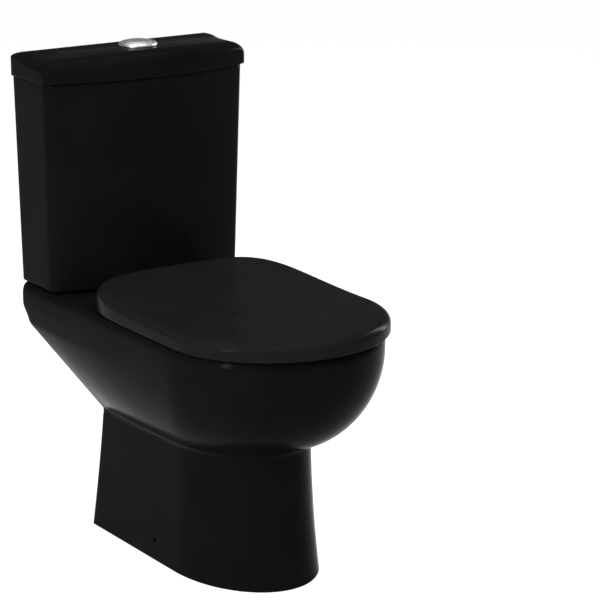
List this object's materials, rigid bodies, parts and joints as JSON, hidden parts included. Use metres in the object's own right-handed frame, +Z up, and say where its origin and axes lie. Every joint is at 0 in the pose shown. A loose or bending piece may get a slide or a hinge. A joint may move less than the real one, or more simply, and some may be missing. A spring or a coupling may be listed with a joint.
{
  "type": "close coupled toilet",
  "caption": "Floor-standing toilet with a pedestal pan, a wrap-over hinged seat and lid, and a bow-fronted cistern bolted to the shelf, flushed by a dual push button.",
  "frame": {"origin": "on the floor, at the middle of the bottom of the bounding box", "axes": "+Z up, the front faces -Y, the wall is at +Y, +X to the right seen from the front"},
  "size_m": [0.376, 0.655, 0.8009],
  "materials": {
    "black_glaze": "high gloss black glaze",
    "seat_plastic": "polished black thermoset",
    "chrome": "mirror chrome",
    "zinc_steel": "zinc plated",
    "rubber": "matt black",
    "white_plastic": "moulded white",
    "grey_plastic": "moulded grey",
    "red_plastic": "moulded red"
  },
  "bodies": {
    "root": {"pan_deck": "black_glaze", "pan_bowl_upper": "black_glaze", "pan_bowl_lower": "black_glaze", "pan_outlet": "black_glaze", "pan_trap": "black_glaze", "pan_duct": "black_glaze", "pan_skirt": "black_glaze", "pan_pedestal": "black_glaze", "cistern_tank": "black_glaze", "hinge_post_left": "chrome", "hinge_post_right": "chrome", "hinge_pin_left": "zinc_steel", "hinge_pin_right": "zinc_steel", "coupling_bolt_left": "zinc_steel", "coupling_bolt_right": "zinc_steel", "wing_nut_left": "zinc_steel", "wing_nut_right": "zinc_steel", "floor_bracket_left": "zinc_steel", "floor_bracket_right": "zinc_steel", "side_screw_left": "zinc_steel", "side_screw_right": "zinc_steel", "coupling_gasket": "rubber", "coupling_seal_left": "rubber", "coupling_seal_right": "rubber", "coupling_washer_left": "rubber", "coupling_washer_right": "rubber", "flush_valve_washer": "rubber", "fill_valve_washer": "rubber", "hinge_nut_left": "white_plastic", "hinge_nut_right": "white_plastic", "flush_valve_body": "white_plastic", "flush_valve_nut": "white_plastic", "fill_valve_body": "white_plastic", "fill_valve_nut": "white_plastic", "flush_valve_head": "grey_plastic", "fill_valve_head": "grey_plastic"},
    "seat_ring": {"seat_ring": "seat_plastic", "ring_buffer_front_left": "rubber", "ring_buffer_front_right": "rubber", "ring_buffer_rear_left": "rubber", "ring_buffer_rear_right": "rubber"},
    "seat_lid": {"seat_lid": "seat_plastic", "lid_buffer_front_left": "rubber", "lid_buffer_front_right": "rubber", "lid_buffer_rear_left": "rubber", "lid_buffer_rear_right": "rubber"},
    "cistern_lid": {"cistern_lid": "black_glaze", "button_bezel": "chrome", "button_nut": "white_plastic"},
    "full_flush_button": {"full_flush_button": "chrome"},
    "half_flush_button": {"half_flush_button": "chrome"},
    "flush_core": {"flush_valve_core": "white_plastic", "flush_valve_seal": "rubber"},
    "full_flush_pusher": {"full_flush_pusher": "red_plastic"},
    "half_flush_pusher": {"half_flush_pusher": "grey_plastic"},
    "float_cup": {"float_cup": "white_plastic"},
    "float_lever": {"float_lever": "grey_plastic"}
  },
  "joints": [
    {"name": "seat_ring_hinge", "type": "hinge", "parent": "root", "child": "seat_ring", "pos_m": [0, 0.1435, 0.423], "axis": [-1, 0, 0], "range_deg": [0, 91]},
    {"name": "seat_lid_hinge", "type": "hinge", "parent": "seat_ring", "child": "seat_lid", "pos_m": [0, 0.1435, 0.423], "axis": [1, 0, 0], "range_deg": [-91, 0]},
    {"name": "cistern_lid_lift", "type": "slide", "parent": "root", "child": "cistern_lid", "axis": [0, 0, 1], "range_m": [0, 0.12]},
    {"name": "full_flush_press", "type": "slide", "parent": "cistern_lid", "child": "full_flush_button", "axis": [0, 0, -1], "range_m": [0, 0.008], "stiffness_N_per_m": 500, "springref_m": -0.008},
    {"name": "half_flush_press", "type": "slide", "parent": "cistern_lid", "child": "half_flush_button", "axis": [0, 0, -1], "range_m": [0, 0.008], "stiffness_N_per_m": 500, "springref_m": -0.008},
    {"name": "flush_core_lift", "type": "slide", "parent": "root", "child": "flush_core", "axis": [0, 0, 1], "range_m": [0, 0.02]},
    {"name": "full_pusher_slide", "type": "slide", "parent": "root", "child": "full_flush_pusher", "axis": [0, 0, -1], "range_m": [0, 0.008]},
    {"name": "half_pusher_slide", "type": "slide", "parent": "root", "child": "half_flush_pusher", "axis": [0, 0, -1], "range_m": [0, 0.008]},
    {"name": "float_rise", "type": "slide", "parent": "root", "child": "float_cup", "axis": [0, 0, 1], "range_m": [0, 0.035]},
    {"name": "float_lever_turn", "type": "hinge", "parent": "root", "child": "float_lever", "pos_m": [0.118, 0.2395, 0.652], "axis": [-1, 0, 0], "range_deg": [0, 12]}
  ],
  "couplings": [
    {"joint": "flush_core_lift", "follows": "full_flush_press", "ratio": 2.5},
    {"joint": "full_pusher_slide", "follows": "full_flush_press", "ratio": 1},
    {"joint": "half_pusher_slide", "follows": "half_flush_press", "ratio": 1},
    {"joint": "float_lever_turn", "follows": "float_rise", "rad_per_m": 5.98}
  ]
}
